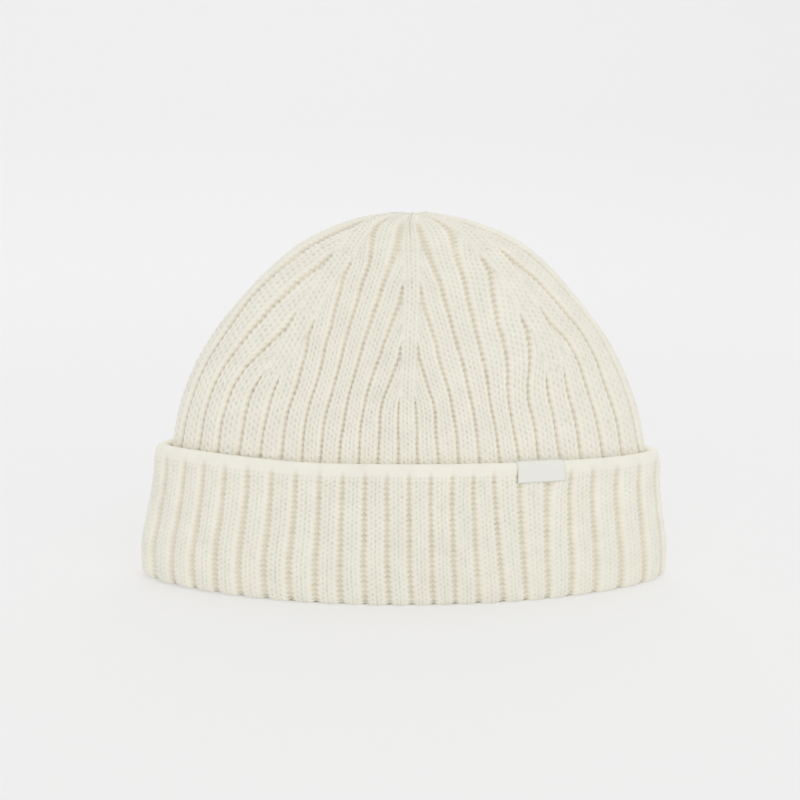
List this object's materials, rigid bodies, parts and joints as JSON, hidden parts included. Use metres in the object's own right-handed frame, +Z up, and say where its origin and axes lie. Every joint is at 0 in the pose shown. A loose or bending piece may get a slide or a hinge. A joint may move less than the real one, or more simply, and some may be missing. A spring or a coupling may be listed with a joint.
{
  "type": "ribbed knit beanie",
  "caption": "Ribbed knit beanie with a darted dome, a wide turned-up cuff and a small folded label, standing on its rim with the head opening down.",
  "frame": {"origin": "under the middle of the oval rim, on the surface that the hat stands on", "axes": "+Z up to the apex, front towards -Y, +X along the rim's long way, to the wearer's left"},
  "size_m": [0.2228, 0.0844, 0.1528],
  "materials": {
    "wool": "ivory ribbed wool knit, matt and slightly fuzzy",
    "satin": "pale satin ribbon, woven, soft sheen"
  },
  "bodies": {
    "root": {"crown": "wool", "cuff": "wool", "label": "satin"}
  },
  "joints": []
}
